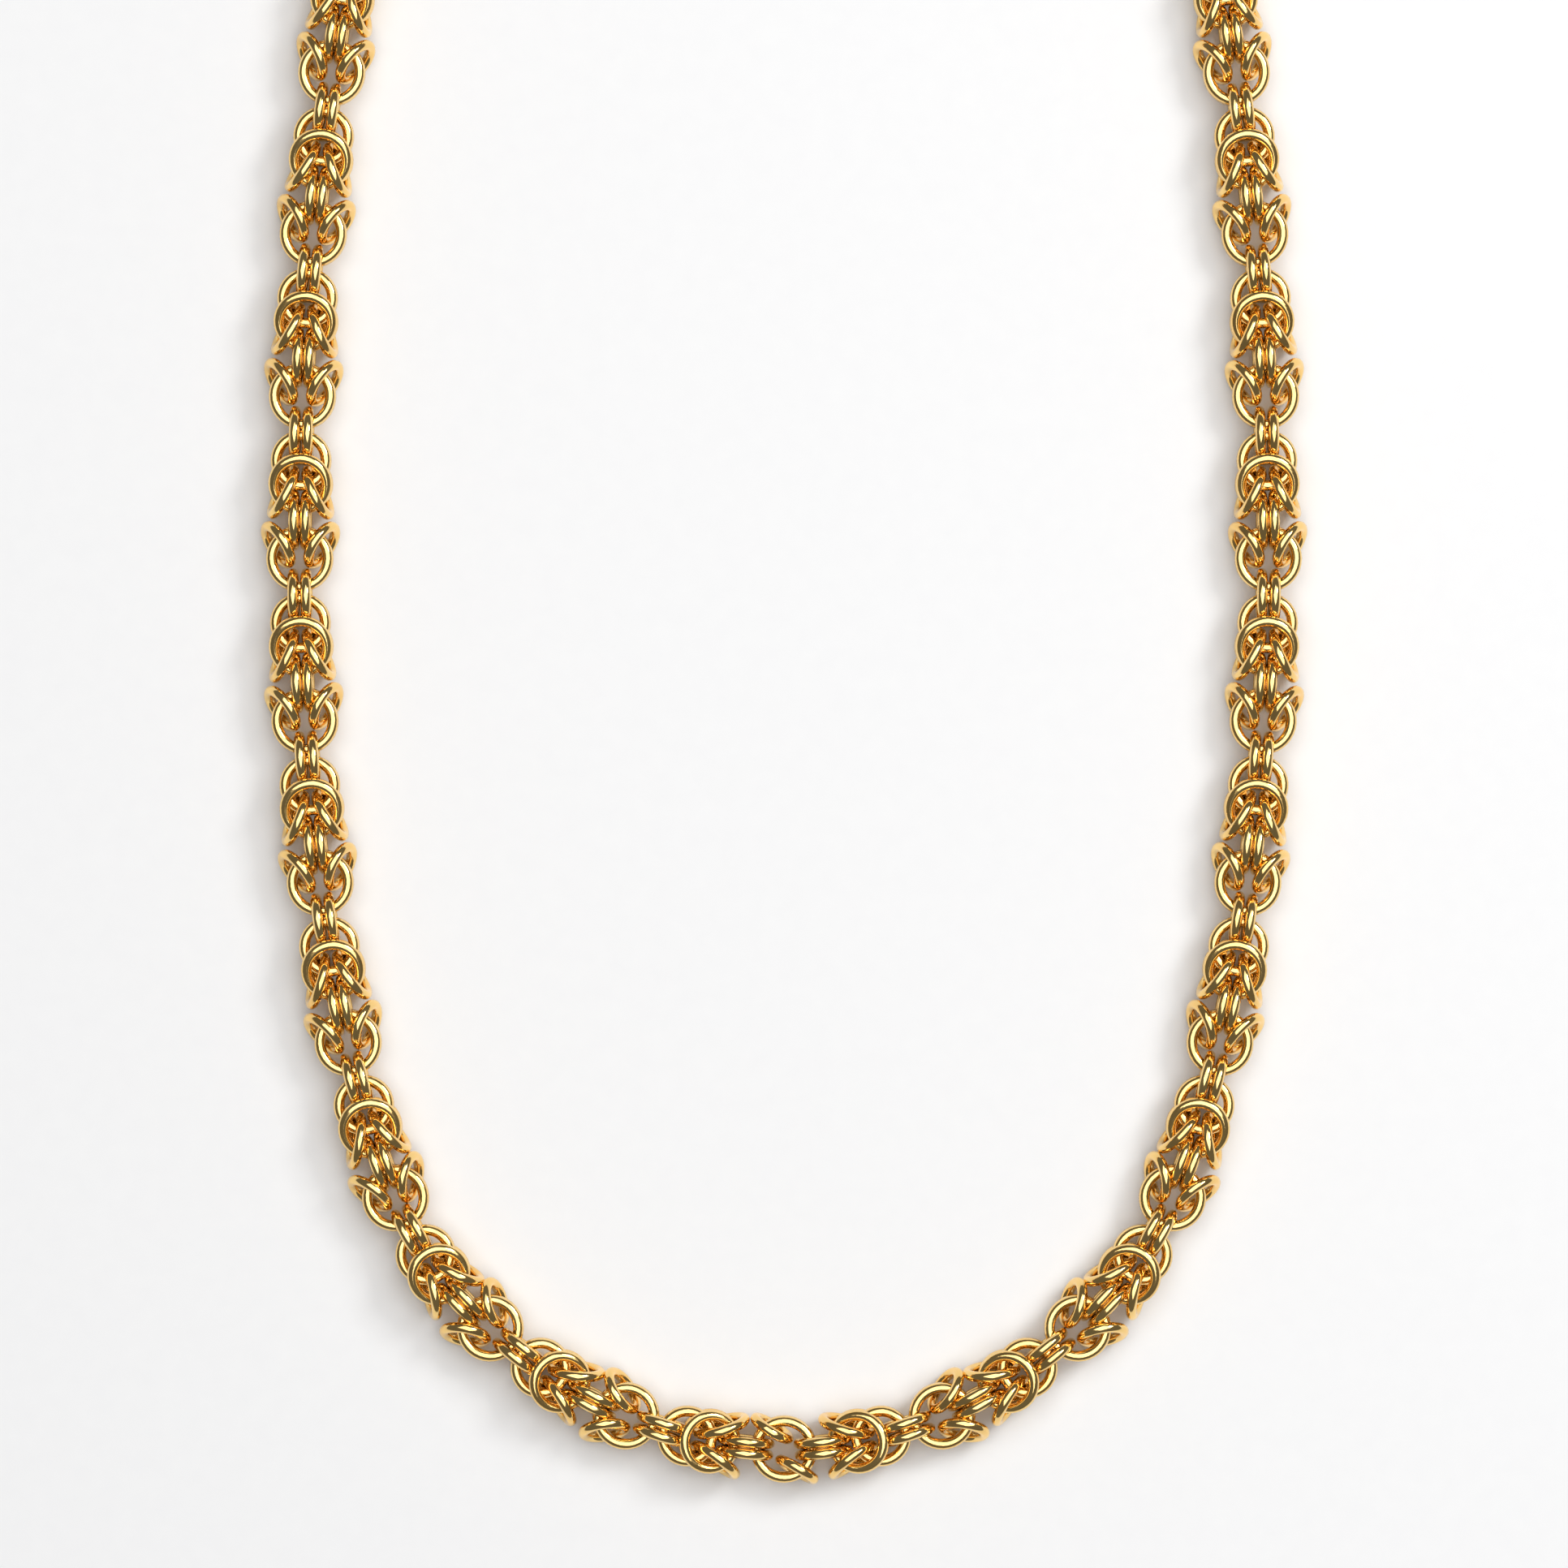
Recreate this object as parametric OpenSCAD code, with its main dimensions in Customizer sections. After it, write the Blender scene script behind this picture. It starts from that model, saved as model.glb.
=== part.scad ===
/* [Chain] */
// Width of the chain, across its widest links
chain_w = 8; // [6:0.5:10]
// Thickness of the chain, from the surface that it lies on to its top
chain_h = 6.8; // [5:0.2:8]
// Flat sides of the chain's outer form
chain_sides = 12; // [8:4:12]
// Steps along the chain between two points of its route
steps_per_span = 2; // [1:1:2]

/* [Clasp] */
// Length of the clasp's barrel
barrel_l = 13; // [10:0.5:16]
// Diameter of the barrel
barrel_d = 6; // [4:0.5:7]
// Diameter of the collar at each end of the barrel, which is also what it rests on
collar_d = 6.8; // [5:0.2:8]
// Width of each collar
collar_w = 1.6; // [1:0.1:2]
// Thickness of the wire of each end loop
loop_wire = 1.1; // [0.9:0.1:1.3]
// Diameter of the end loop, measured at the middle of its wire
loop_d = 4.6; // [4.2:0.1:5]
// Depth of the groove round the middle of the barrel, where its two halves meet
groove_depth = 0.4; // [0.2:0.1:0.6]
// Width of that groove
groove_w = 0.6; // [0.4:0.1:1]

/* [Fit] */
// Gap between the clasp's loops and the end of each half of the chain
end_gap = 0.1; // [0.1:0.05:0.3]

/* [Hidden] */

// The necklace lies flat on a surface at z = 0, with the clasp at +Y.
axis_z = chain_h / 2;
clasp_y = 109.5;

// Where the right half of the chain starts, just past the clasp's end loop.
loop_overlap = 0.6;
clasp_half = barrel_l / 2 + loop_d + loop_wire / 2 - loop_overlap + end_gap;

// The right half's route, from the clasp round to the middle of the front.
// The left half is its mirror image.
ROUTE = [
    [clasp_half, clasp_y],
    [21, 106.5],
    [30, 100],
    [38, 90],
    [43.5, 78],
    [47.5, 63],
    [50, 48],
    [52, 32],
    [53.5, 15],
    [54, -2],
    [54, -18],
    [53, -35],
    [51, -52],
    [48, -67],
    [44, -80],
    [38.5, -90],
    [31, -97.5],
    [21.5, -104],
    [11, -108],
    [0, -109.5]
];

chain_colour = [0.93, 0.72, 0.3];
clasp_colour = [0.9, 0.68, 0.28];

// Half of the chain's thickness divided by this puts its flats, not its edges, on the surface.
flat_scale = cos(180 / chain_sides);

// A point on a smooth curve through p1 and p2, with p0 and p3 as their neighbours.
function curve_point(p0, p1, p2, p3, t) =
    0.5 * (2 * p1 + (p2 - p0) * t
        + (2 * p0 - 5 * p1 + 4 * p2 - p3) * t * t
        + (3 * p1 - p0 - 3 * p2 + p3) * t * t * t);

// Past the first point the route runs on along the clasp, and past the last one it is mirrored.
function route_point(i) =
    i < 0 ? [2 * ROUTE[0][0] - ROUTE[1][0], ROUTE[0][1]]
    : i < len(ROUTE) ? ROUTE[i]
    : [-ROUTE[2 * len(ROUTE) - 2 - i][0], ROUTE[2 * len(ROUTE) - 2 - i][1]];

spans = len(ROUTE) - 1;
ring_count = spans * steps_per_span + 1;

function centre(k) =
    let (i = min(floor(k / steps_per_span), spans - 1), t = k / steps_per_span - i)
    curve_point(route_point(i - 1), route_point(i), route_point(i + 1), route_point(i + 2), t);

// The route's direction at a ring: along X at both ends, where the halves and the clasp meet.
function heading(k) =
    k == 0 || k == ring_count - 1 ? [k == 0 ? 1 : -1, 0]
    : let (d = centre(k + 1) - centre(k - 1)) d / norm(d);

// One ring of corners round the chain, square to its route.
function ring(k) =
    let (c = centre(k), d = heading(k))
    [for (j = [0 : chain_sides - 1])
        let (
            a = 360 * (j + 0.5) / chain_sides,
            across = chain_w / 2 / flat_scale * cos(a),
            up = chain_h / 2 / flat_scale * sin(a)
        )
        [c[0] + across * d[1], c[1] - across * d[0], axis_z + up]];

// One half of the chain, as the outer form that its links fill.
module half_chain() {
    corners = [for (k = [0 : ring_count - 1]) each ring(k)];
    n = chain_sides;
    walls = [for (k = [0 : ring_count - 2], j = [0 : n - 1])
        let (a = k * n + j, b = k * n + (j + 1) % n)
        [a, b, b + n, a + n]];
    first_cap = [for (j = [n - 1 : -1 : 0]) j];
    last_cap = [for (j = [0 : n - 1]) (ring_count - 1) * n + j];
    polyhedron(points = corners, faces = concat(walls, [first_cap, last_cap]), convexity = 10);
}

module chain_right() {
    color(chain_colour) half_chain();
}

module chain_left() {
    color(chain_colour) mirror([1, 0, 0]) half_chain();
}

// A closed loop of wire soldered to one end of the barrel, standing upright.
module end_loop() {
    translate([barrel_l / 2 + loop_d / 2 - loop_overlap, clasp_y, axis_z])
        rotate([90, 0, 0])
            rotate_extrude($fn = 48)
                translate([loop_d / 2, 0])
                    circle(d = loop_wire, $fn = 24);
}

// The plain barrel, with a collar at each end and a groove where its halves meet.
module barrel() {
    translate([-barrel_l / 2, clasp_y, axis_z])
        rotate([0, 90, 0])
            difference() {
                union() {
                    cylinder(d = barrel_d, h = barrel_l, $fn = 48);
                    cylinder(d = collar_d, h = collar_w, $fn = 48);
                    translate([0, 0, barrel_l - collar_w])
                        cylinder(d = collar_d, h = collar_w, $fn = 48);
                }
                translate([0, 0, (barrel_l - groove_w) / 2])
                    difference() {
                        cylinder(d = barrel_d + 1, h = groove_w, $fn = 48);
                        cylinder(d = barrel_d - 2 * groove_depth, h = groove_w, $fn = 48);
                    }
            }
}

module clasp() {
    color(clasp_colour)
        union() {
            barrel();
            end_loop();
            mirror([1, 0, 0]) end_loop();
        }
}

chain_right();
chain_left();
clasp();
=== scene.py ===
"""A byzantine chain necklace of polished gold rings, laid flat on a pale surface."""

import logging
from collections.abc import Iterator
from dataclasses import dataclass, field, replace
from enum import Enum
from math import ceil, cos, pi, radians, sin

import bpy
from mathutils import Matrix, Vector


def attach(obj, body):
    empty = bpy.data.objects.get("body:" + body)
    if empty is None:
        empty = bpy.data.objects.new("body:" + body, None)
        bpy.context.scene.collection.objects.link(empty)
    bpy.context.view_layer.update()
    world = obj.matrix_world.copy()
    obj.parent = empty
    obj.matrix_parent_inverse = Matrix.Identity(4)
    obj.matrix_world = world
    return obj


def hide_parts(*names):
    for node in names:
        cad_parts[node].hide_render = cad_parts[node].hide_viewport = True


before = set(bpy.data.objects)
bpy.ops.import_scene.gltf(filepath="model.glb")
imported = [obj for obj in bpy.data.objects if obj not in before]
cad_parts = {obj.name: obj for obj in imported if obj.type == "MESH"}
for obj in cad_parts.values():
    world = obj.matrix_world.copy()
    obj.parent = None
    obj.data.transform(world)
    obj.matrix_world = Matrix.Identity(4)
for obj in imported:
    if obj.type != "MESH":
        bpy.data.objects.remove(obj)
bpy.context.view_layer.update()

MM = 0.001
BODY = "root"
FINISH_ATTRIBUTE = "link_finish"

Colour = tuple[float, float, float, float]

log = logging.getLogger("necklace")


class Side(Enum):
    """The two halves of the necklace, seen from above with the clasp at the top."""

    RIGHT = 1
    LEFT = -1

    @property
    def node(self) -> str:
        """The CAD node that this half of the chain replaces."""
        return f"chain_{self.name.lower()}"

    @property
    def mirror(self) -> Matrix:
        """The matrix that turns the right half into this one."""
        return Matrix.Diagonal((self.value, 1, 1, 1))


@dataclass(frozen=True)
class RouteSizes:
    """The middle line of one half of the necklace, in millimetres.

    The points are those of the part's source, from the clasp's end loop round to
    the middle of the front.
    """

    clasp_half: float = 11.15
    clasp_y: float = 109.5
    points: tuple[tuple[float, float], ...] = (
        (21, 106.5),
        (30, 100),
        (38, 90),
        (43.5, 78),
        (47.5, 63),
        (50, 48),
        (52, 32),
        (53.5, 15),
        (54, -2),
        (54, -18),
        (53, -35),
        (51, -52),
        (48, -67),
        (44, -80),
        (38.5, -90),
        (31, -97.5),
        (21.5, -104),
        (11, -108),
        (0, -109.5),
    )
    steps_per_span: int = 24
    direction_reach: float = 3.0


class Route:
    """The smooth middle line of one half of the necklace, measured along its length."""

    def __init__(self, sizes: RouteSizes, height: float) -> None:
        """Walks the curve once and keeps its points with their distances.

        Args:
            sizes: The route's points and step count.
            height: How high the middle line is above the surface, in millimetres.
        """
        self.sizes = sizes
        self.height = height
        self.knots = [Vector((sizes.clasp_half, sizes.clasp_y))] + [Vector(p) for p in sizes.points]
        self.points: list[Vector] = []
        for span in range(len(self.knots) - 1):
            for step in range(sizes.steps_per_span):
                self.points.append(self._curve(span, step / sizes.steps_per_span))
        self.points.append(self.knots[-1].copy())
        self.distances = [0.0]
        for before, after in zip(self.points, self.points[1:]):
            self.distances.append(self.distances[-1] + (after - before).length)

    @property
    def length(self) -> float:
        """The length of this half's middle line, in millimetres."""
        return self.distances[-1]

    def _knot(self, index: int) -> Vector:
        """A route point, carried on past both ends.

        Args:
            index: The point's number, which may be -1 or one past the last.

        Returns:
            The point, on the clasp's side drawn straight on and at the front mirrored.
        """
        first, second = self.knots[0], self.knots[1]
        if index < 0:
            return Vector((2 * first.x - second.x, first.y))
        if index < len(self.knots):
            return self.knots[index]
        mirrored = self.knots[2 * len(self.knots) - 2 - index]
        return Vector((-mirrored.x, mirrored.y))

    def _curve(self, span: int, t: float) -> Vector:
        """A point on the smooth curve through the route points, a Catmull-Rom spline.

        Args:
            span: The number of the route point before it.
            t: How far on towards the next one, from 0 to 1.

        Returns:
            The point in the plane, in millimetres.
        """
        p0, p1, p2, p3 = (self._knot(span + k) for k in (-1, 0, 1, 2))
        linear = (p2 - p0) * t
        square = (2 * p0 - 5 * p1 + 4 * p2 - p3) * t * t
        cube = (3 * p1 - p0 - 3 * p2 + p3) * t * t * t
        return 0.5 * (2 * p1 + linear + square + cube)

    def _at(self, distance: float) -> Vector:
        """The point at a distance along the route, carried straight on past its ends.

        Args:
            distance: How far from the route's start, in millimetres.

        Returns:
            The point in the plane.
        """
        if distance <= 0:
            return self.points[0] + Vector((distance, 0))
        if distance >= self.length:
            return self.points[-1] + Vector((self.length - distance, 0))
        low, high = 0, len(self.distances) - 1
        while high - low > 1:
            middle = (low + high) // 2
            if self.distances[middle] <= distance:
                low = middle
            else:
                high = middle
        part = (distance - self.distances[low]) / (self.distances[high] - self.distances[low])
        return self.points[low].lerp(self.points[high], part)

    def place(self, distance: float) -> Matrix:
        """The frame of the chain at a distance along the route.

        Args:
            distance: How far from the route's start, in millimetres.

        Returns:
            A matrix whose X is across the chain, Y is up from the surface and Z along it.
        """
        here = self._at(distance)
        reach = self.sizes.direction_reach
        direction = (self._at(distance + reach) - self._at(distance - reach)).normalized()
        along = direction.to_3d()
        up = Vector((0, 0, 1))
        turn = Matrix((up.cross(along), up, along)).transposed().to_4x4()
        return Matrix.Translation((here.x, here.y, self.height)) @ turn


@dataclass(frozen=True)
class Link:
    """One ring of the weave, in the chain's own frame and in millimetres.

    X is across the chain, Y up from the surface and Z along the chain. The stretch
    lengthens the ring along the chain, so 1 leaves it round.
    """

    centre: Vector
    normal: Vector
    radius: float
    stretch: float = 1.0


@dataclass(frozen=True)
class FacePair:
    """Two rings that lie in the chain's face, one near its top and one near its underside."""

    along: float
    height: float
    lean: float
    radius: float

    def links(self) -> Iterator[Link]:
        """Makes the pair's rings.

        Returns:
            The upper and then the lower ring.
        """
        for level in (1, -1):
            normal = Vector((0, cos(radians(self.lean)), level * sin(radians(self.lean))))
            yield Link(Vector((0, level * self.height, self.along)), normal, self.radius)


@dataclass(frozen=True)
class EdgePair:
    """Two rings that stand on edge beside each other and join the pairs before and after."""

    start: float
    spread: float
    radius: float
    stretch: float = 1.0

    @property
    def along(self) -> float:
        """Where the pair's centre is, with its near end at the start."""
        return self.start + self.radius * self.stretch

    def links(self) -> Iterator[Link]:
        """Makes the pair's rings.

        Returns:
            The right and then the left ring.
        """
        for hand in (1, -1):
            centre = Vector((hand * self.spread, 0, self.along))
            yield Link(centre, Vector((1, 0, 0)), self.radius, self.stretch)


@dataclass(frozen=True)
class FoldedPair:
    """Two rings folded back along the chain's sides, one on each side.

    The hinge is the end of each ring that stays near the chain's middle. Onward is 1
    where the rings are folded on along the chain and -1 where they are folded back.
    """

    hinge_along: float
    hinge_spread: float
    fold: float
    turn: float
    radius: float
    onward: int

    def links(self) -> Iterator[Link]:
        """Makes the pair's rings.

        Returns:
            The right and then the left ring.
        """
        out, on = sin(radians(self.fold)), self.onward * cos(radians(self.fold))
        for hand in (1, -1):
            reach = Vector((hand * out, 0, on)) * self.radius
            normal = Vector((hand * abs(on), sin(radians(self.turn)), -self.onward * out))
            centre = Vector((hand * self.hinge_spread, 0, self.hinge_along)) + reach
            yield Link(centre, normal.normalized(), self.radius)


Pair = FacePair | EdgePair | FoldedPair


@dataclass(frozen=True)
class WeaveSizes:
    """One repeat of the weave, with each pair's place along it, in millimetres and degrees."""

    wire: float = 1.2
    pitch: float = 18.15
    front: FacePair = FacePair(along=-0.08, height=1.62, lean=17.8, radius=2.98)
    front_folds: FoldedPair = FoldedPair(-1.58, 0.76, fold=25.8, turn=10.4, radius=2.71, onward=1)
    upper_bars: EdgePair = EdgePair(start=1.2, spread=0.65, radius=2.68, stretch=1.04)
    middle: FacePair = FacePair(along=8.24, height=0.62, lean=0, radius=3.16)
    middle_folds: FoldedPair = FoldedPair(8.73, 1.17, fold=32.1, turn=21.7, radius=2.37, onward=-1)
    centre_fold_radius: float = 2.15
    centre_fold_turn: float = 8.0
    lower_bars: EdgePair = EdgePair(start=9.9, spread=0.73, radius=2.56)
    inner: FacePair = FacePair(along=15.43, height=0.67, lean=0.6, radius=2.79)

    @property
    def half_thickness(self) -> float:
        """Half the chain's thickness, which its tallest rings set."""
        return self.upper_bars.radius + self.wire / 2

    @property
    def end_pair(self) -> FacePair:
        """The plain pair that ends the chain, as far before the bars as the middle pair is after."""
        return replace(self.middle, along=2 * self.upper_bars.along - self.middle.along)


class LinkMesh:
    """A mesh of many separate wire rings."""

    def __init__(self, wire: float, around: int = 36, section: int = 12) -> None:
        """Starts an empty mesh.

        Args:
            wire: The wire's diameter, in millimetres.
            around: Steps round a ring.
            section: Sides of the wire.
        """
        self.wire_radius = wire / 2
        self.around = around
        self.section = section
        self.corners: list[tuple[float, float, float]] = []
        self.faces: list[tuple[int, int, int, int]] = []
        self.finish_values: list[float] = []

    def add(self, link: Link, place: Matrix, finish_value: float) -> None:
        """Adds one ring.

        Args:
            link: The ring in the chain's frame.
            place: The chain's frame in the necklace.
            finish_value: A number from 0 to 1 that varies the ring's finish.
        """
        turn = link.normal.to_track_quat("Z", "Y").to_matrix().to_4x4()
        stretch = Matrix.Scale(link.stretch, 4, (0, 0, 1))
        matrix = Matrix.Scale(MM, 4) @ place @ Matrix.Translation(link.centre) @ stretch @ turn
        start = len(self.corners)
        for i in range(self.around):
            ring_angle = 2 * pi * i / self.around
            for j in range(self.section):
                wire_angle = 2 * pi * j / self.section
                reach = link.radius + self.wire_radius * cos(wire_angle)
                rise = self.wire_radius * sin(wire_angle)
                local = Vector((reach * cos(ring_angle), reach * sin(ring_angle), rise))
                self.corners.append(tuple(matrix @ local))
                self.finish_values.append(finish_value)
        for i in range(self.around):
            here = start + i * self.section
            after = start + (i + 1) % self.around * self.section
            for j in range(self.section):
                k = (j + 1) % self.section
                self.faces.append((here + j, after + j, after + k, here + k))

    def build(self, name: str, material: bpy.types.Material) -> bpy.types.Object:
        """Makes the Blender object.

        Args:
            name: The piece's name.
            material: Its material.

        Returns:
            The new object, linked to the scene.
        """
        mesh = bpy.data.meshes.new(name)
        mesh.from_pydata(self.corners, [], self.faces)
        mesh.shade_smooth()
        finish = mesh.attributes.new(FINISH_ATTRIBUTE, "FLOAT", "POINT")
        finish.data.foreach_set("value", self.finish_values)
        mesh.materials.append(material)
        return add_object(name, mesh)


class Chain:
    """The whole chain, as joined meshes of interlocked rings."""

    slot = "chain"
    parts_per_half = 2
    finish_step = 0.618

    def __init__(self, sizes: WeaveSizes, route: Route) -> None:
        """Works out where each repeat goes.

        Args:
            sizes: The weave.
            route: The middle line of one half.
        """
        self.sizes = sizes
        self.route = route
        self.front_start = route.length - sizes.middle.along
        self.repeats = round(self.front_start / sizes.pitch)

    def _pairs(self, repeat: int) -> list[Pair]:
        """The ring pairs of one repeat, with a plain pair at the clasp and no second half at the front.

        Args:
            repeat: The repeat's number, from the clasp.

        Returns:
            The pairs in the order that they are built in.
        """
        w = self.sizes
        at_front = repeat == self.repeats
        pairs: list[Pair] = [replace(w.upper_bars, stretch=1.0) if at_front else w.upper_bars]
        pairs += [w.end_pair] if repeat == 0 else [w.front, w.front_folds]
        if not at_front:
            pairs += [w.middle, w.middle_folds, w.lower_bars, w.inner]
        return pairs

    def _centre_links(self) -> Iterator[Link]:
        """Makes the rings at the middle of the front, a plain pair with one ring folded each way.

        Returns:
            The rings, in the frame of the last repeat.
        """
        w = self.sizes
        yield from w.middle.links()
        back = replace(w.middle_folds, radius=w.centre_fold_radius, turn=w.centre_fold_turn)
        on = replace(back, hinge_along=2 * w.middle.along - back.hinge_along, onward=1)
        right, _ = back.links()
        _, left = on.links()
        yield from (right, left)

    def _links(self, side: Side) -> list[tuple[float, Link]]:
        """The rings of one half from the clasp to the front. The right half has those between them too.

        Args:
            side: Which half.

        Returns:
            The rings, each with the distance along the route where its repeat starts.
        """
        links: list[tuple[float, Link]] = []
        for repeat in range(self.repeats + 1):
            start = self.front_start + (repeat - self.repeats) * self.sizes.pitch
            links += [(start, link) for pair in self._pairs(repeat) for link in pair.links()]
        if side is Side.RIGHT:
            links += [(self.front_start, link) for link in self._centre_links()]
        return links

    def build(self, side: Side, material: bpy.types.Material) -> None:
        """Builds one half of the chain in place of its CAD node.

        Args:
            side: Which half.
            material: The rings' material.
        """
        links = self._links(side)
        share = ceil(len(links) / self.parts_per_half)
        for part in range(self.parts_per_half):
            mesh = LinkMesh(self.sizes.wire)
            own = links[part * share : (part + 1) * share]
            for number, (start, link) in enumerate(own):
                place = self.route.place(start + link.centre.z)
                flat = replace(link, centre=Vector((link.centre.x, link.centre.y, 0)))
                mesh.add(flat, side.mirror @ place, (number * self.finish_step) % 1)
            piece = mesh.build(f"{side.node}_links_{part + 1}", material)
            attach(piece, BODY)
            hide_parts(side.node)
            log.info("%s: %d rings", piece.name, len(own))


class Socket:
    """A node's output with arithmetic, so that a shader's maths reads as a formula."""

    def __init__(self, tree: "Shader", output: bpy.types.NodeSocket) -> None:
        """Wraps one output.

        Args:
            tree: The shader it belongs to.
            output: The output.
        """
        self.tree = tree
        self.output = output

    def _math(self, operation: str, *values: "Socket | float") -> "Socket":
        """Adds one Math node.

        Args:
            operation: The node's operation.
            values: Its inputs.

        Returns:
            The node's output.
        """
        return self.tree.node("ShaderNodeMath", {"operation": operation}, dict(enumerate(values)))

    def __add__(self, other: "Socket | float") -> "Socket":
        """This value plus another."""
        return self._math("ADD", self, other)

    def __radd__(self, other: float) -> "Socket":
        """A number plus this value."""
        return self._math("ADD", other, self)

    def __sub__(self, other: "Socket | float") -> "Socket":
        """This value less another."""
        return self._math("SUBTRACT", self, other)

    def __rsub__(self, other: float) -> "Socket":
        """A number less this value."""
        return self._math("SUBTRACT", other, self)

    def __mul__(self, other: "Socket | float") -> "Socket":
        """This value times another."""
        return self._math("MULTIPLY", self, other)

    def __rmul__(self, other: float) -> "Socket":
        """A number times this value."""
        return self._math("MULTIPLY", other, self)

    def clamp(self) -> "Socket":
        """The value kept between 0 and 1."""
        return self.tree.node("ShaderNodeClamp", {}, {"Value": self})


class Shader:
    """A material's node tree."""

    MIX_FACTOR = 0
    MIX_FIRST_COLOUR = 6
    MIX_SECOND_COLOUR = 7
    MIX_COLOUR_OUTPUT = 2

    def __init__(self, name: str) -> None:
        """Makes a material with a plain Principled shader.

        Args:
            name: The material's name.
        """
        self.material = bpy.data.materials.new(name)
        self.material.use_nodes = True
        self.nodes = self.material.node_tree.nodes
        self.links = self.material.node_tree.links
        self.surface = self.nodes["Principled BSDF"]

    def _feed(self, entry: bpy.types.NodeSocket, value: "Socket | float | Colour") -> None:
        """Sets or links one input.

        Args:
            entry: The input.
            value: A number, a colour or a socket.
        """
        if isinstance(value, Socket):
            self.links.new(value.output, entry)
        else:
            entry.default_value = value

    def node(
        self,
        kind: str,
        settings: dict[str, str],
        values: "dict[str | int, Socket | float | Colour]",
        output: str | int = 0,
    ) -> Socket:
        """Adds one node.

        Args:
            kind: The node's type.
            settings: Its properties, which are set first.
            values: Its inputs by name or number, as numbers, colours or sockets.
            output: The output to return.

        Returns:
            The wrapped output.
        """
        made = self.nodes.new(kind)
        for key, value in settings.items():
            setattr(made, key, value)
        for key, value in values.items():
            self._feed(made.inputs[key], value)
        return Socket(self, made.outputs[output])

    def set(self, **values: "Socket | float | Colour") -> None:
        """Sets inputs of the Principled shader.

        Args:
            values: The inputs by name, with underscores for the spaces in their names.
        """
        for key, value in values.items():
            self._feed(self.surface.inputs[key.replace("_", " ")], value)

    def mix(self, amount: Socket, first: Colour, second: Colour) -> Socket:
        """Mixes two colours.

        Args:
            amount: How much of the second.
            first: The first colour.
            second: The second colour.

        Returns:
            The mixed colour.
        """
        values = {self.MIX_FACTOR: amount, self.MIX_FIRST_COLOUR: first, self.MIX_SECOND_COLOUR: second}
        return self.node("ShaderNodeMix", {"data_type": "RGBA"}, values, self.MIX_COLOUR_OUTPUT)


@dataclass(frozen=True)
class GoldFinish:
    """Polished yellow gold, with its sizes per metre and its bump in metres."""

    name: str
    light: Colour = (1.0, 0.7, 0.27, 1.0)
    deep: Colour = (0.9, 0.52, 0.15, 1.0)
    tone_start: float = 0.35
    tone_gain: float = 0.9
    tone_by_link: float = 0.2
    roughness: float = 0.07
    roughness_swing: float = 0.1
    wear_scale: float = 900.0
    wear_detail: float = 4.0
    wear_height: float = 0.3
    dent_scale: float = 260.0
    dent_detail: float = 2.0
    bump: float = 0.06
    bump_distance: float = 0.0001
    varies_by_link: bool = True

    def build(self) -> bpy.types.Material:
        """Makes the material.

        Returns:
            The finished material.
        """
        shader = Shader(self.name)
        place = shader.node("ShaderNodeTexCoord", {}, {}, "Object")
        wear_sizes = {"Vector": place, "Scale": self.wear_scale, "Detail": self.wear_detail}
        wear = shader.node("ShaderNodeTexNoise", {}, wear_sizes)
        dent_sizes = {"Vector": place, "Scale": self.dent_scale, "Detail": self.dent_detail}
        dents = shader.node("ShaderNodeTexNoise", {}, dent_sizes)
        tone = (dents - self.tone_start) * self.tone_gain
        if self.varies_by_link:
            link = shader.node("ShaderNodeAttribute", {"attribute_name": FINISH_ATTRIBUTE}, {}, "Fac")
            tone = tone + link * self.tone_by_link
        relief = {
            "Height": wear * self.wear_height + dents,
            "Strength": self.bump,
            "Distance": self.bump_distance,
        }
        shader.set(
            Base_Color=shader.mix(tone.clamp(), self.light, self.deep),
            Metallic=1.0,
            Roughness=(self.roughness + wear * self.roughness_swing).clamp(),
            Normal=shader.node("ShaderNodeBump", {}, relief),
        )
        return shader.material


@dataclass(frozen=True)
class PaperFinish:
    """The plain pale surface that the necklace lies on."""

    name: str = "pale_surface"
    light: Colour = (0.93, 0.93, 0.93, 1.0)
    deep: Colour = (0.9, 0.9, 0.905, 1.0)
    grain_scale: float = 400.0
    roughness: float = 0.6

    def build(self) -> bpy.types.Material:
        """Makes the material.

        Returns:
            The finished material.
        """
        shader = Shader(self.name)
        place = shader.node("ShaderNodeTexCoord", {}, {}, "Object")
        grain = shader.node("ShaderNodeTexNoise", {}, {"Vector": place, "Scale": self.grain_scale})
        colour = shader.mix(grain, self.light, self.deep)
        shader.set(Base_Color=colour, Roughness=self.roughness)
        return shader.material


@dataclass(frozen=True)
class Clasp:
    """The clasp, whose CAD solid is shown as it is."""

    node: str = "clasp"
    finish: GoldFinish = GoldFinish("clasp_gold", varies_by_link=False)

    def dress(self) -> None:
        """Gives the clasp its finish."""
        material = self.finish.build()
        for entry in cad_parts[self.node].material_slots:
            entry.material = material
        log.info("%s: dressed", self.node)


@dataclass(frozen=True)
class Lamp:
    """One soft, square studio light that points at the necklace."""

    name: str
    place: tuple[float, float, float]
    size: float
    power: float

    def build(self, target: Vector) -> None:
        """Makes the light.

        Args:
            target: What it points at.
        """
        data = bpy.data.lights.new(self.name, "AREA")
        data.size = self.size
        data.energy = self.power
        lamp = add_object(self.name, data)
        lamp.location = self.place
        lamp.rotation_euler = (target - lamp.location).to_track_quat("-Z", "Y").to_euler()


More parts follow.
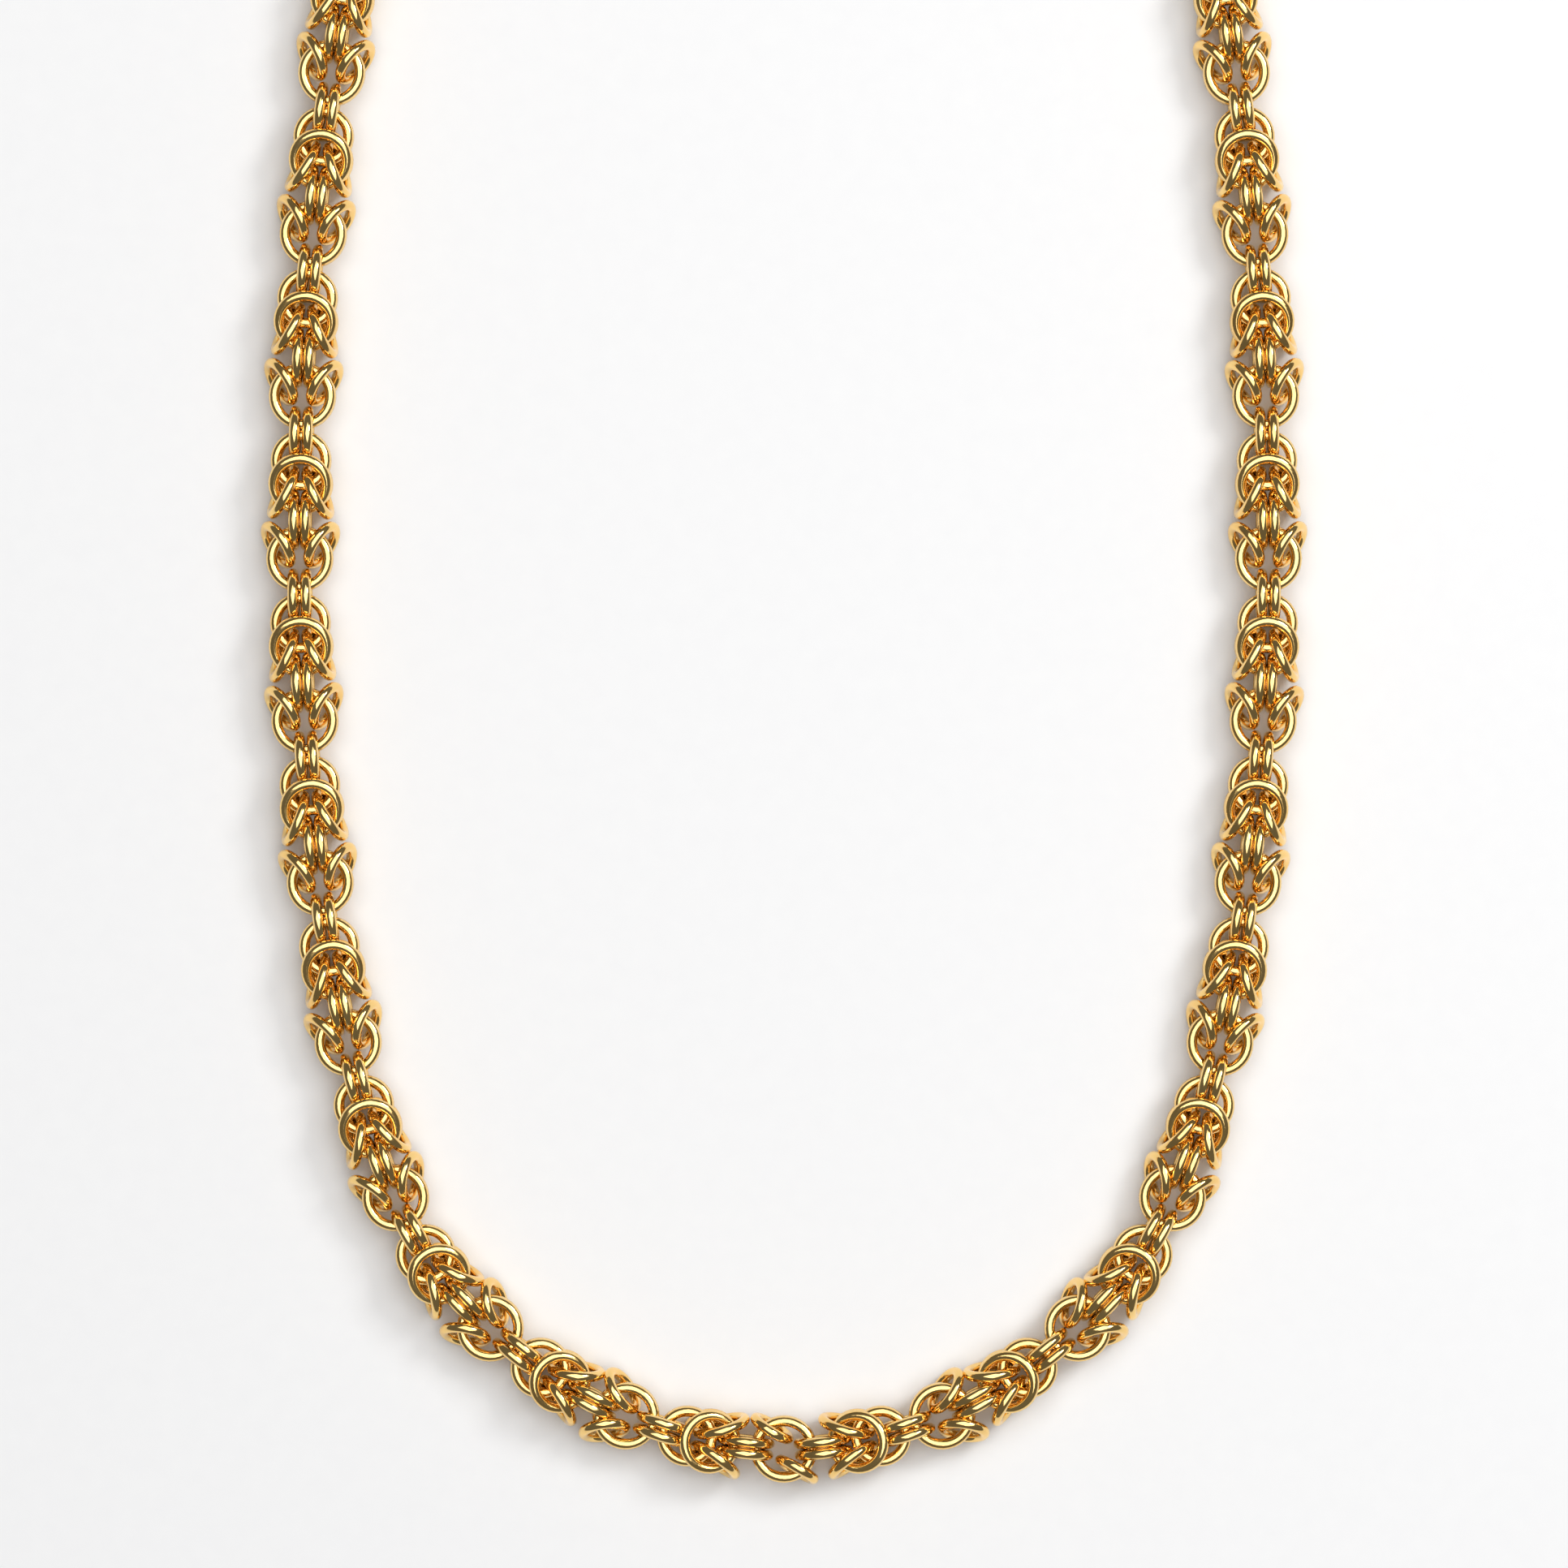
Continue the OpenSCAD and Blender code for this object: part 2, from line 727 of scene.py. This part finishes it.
@dataclass(frozen=True)
class Studio:
    """The surface, the lights and the camera, in metres and watts."""

    floor_size: float = 3.0
    view_centre: tuple[float, float] = (0.0, -0.0352)
    view_width: float = 0.1756
    camera_height: float = 1.4
    camera_range: float = 20.0
    sensor: float = 36.0
    room_colour: Colour = (1.0, 1.0, 1.0, 1.0)
    room_strength: float = 0.13
    lamps: tuple[Lamp, ...] = (
        Lamp("top", (0.15, 0.15, 1.6), 2.0, 26.0),
        Lamp("key", (0.6, 0.35, 0.7), 0.3, 3.3),
    )
    surface: PaperFinish = field(default_factory=PaperFinish)

    def build(self) -> None:
        """Makes the whole set round the necklace."""
        self._floor()
        self._camera()
        self._world()
        for lamp in self.lamps:
            lamp.build(Vector((0, 0, 0)))
        log.info("studio: %d lamps", len(self.lamps))

    def _floor(self) -> None:
        """Makes the pale surface."""
        half = self.floor_size / 2
        mesh = bpy.data.meshes.new("floor")
        corners = [(-half, -half, 0), (half, -half, 0), (half, half, 0), (-half, half, 0)]
        mesh.from_pydata(corners, [], [(0, 1, 2, 3)])
        mesh.materials.append(self.surface.build())
        add_object("floor", mesh)

    def _camera(self) -> None:
        """Makes a long-lens camera straight above, framed as the photo is."""
        data = bpy.data.cameras.new("camera")
        data.sensor_width = self.sensor
        data.lens = self.sensor * self.camera_height / self.view_width
        data.clip_end = self.camera_range
        camera = add_object("camera", data)
        camera.location = (*self.view_centre, self.camera_height)
        bpy.context.scene.camera = camera

    def _world(self) -> None:
        """Gives the room its even light."""
        world = bpy.data.worlds.new("room")
        world.use_nodes = True
        background = world.node_tree.nodes["Background"]
        background.inputs["Color"].default_value = self.room_colour
        background.inputs["Strength"].default_value = self.room_strength
        bpy.context.scene.world = world
        bpy.context.scene.view_settings.view_transform = "Standard"


def add_object(name: str, data: bpy.types.ID) -> bpy.types.Object:
    """Makes an object and links it to the scene.

    Args:
        name: Its name.
        data: Its mesh, light or camera.

    Returns:
        The new object.
    """
    made = bpy.data.objects.new(name, data)
    bpy.context.scene.collection.objects.link(made)
    return made


def main() -> None:
    """Builds the necklace and its studio."""
    logging.basicConfig(level=logging.INFO)
    weave = WeaveSizes()
    chain = Chain(weave, Route(RouteSizes(), weave.half_thickness))
    gold = GoldFinish("chain_gold").build()
    for side in Side:
        chain.build(side, gold)
    Clasp().dress()
    Studio().build()


if __name__ == "__main__":
    main()
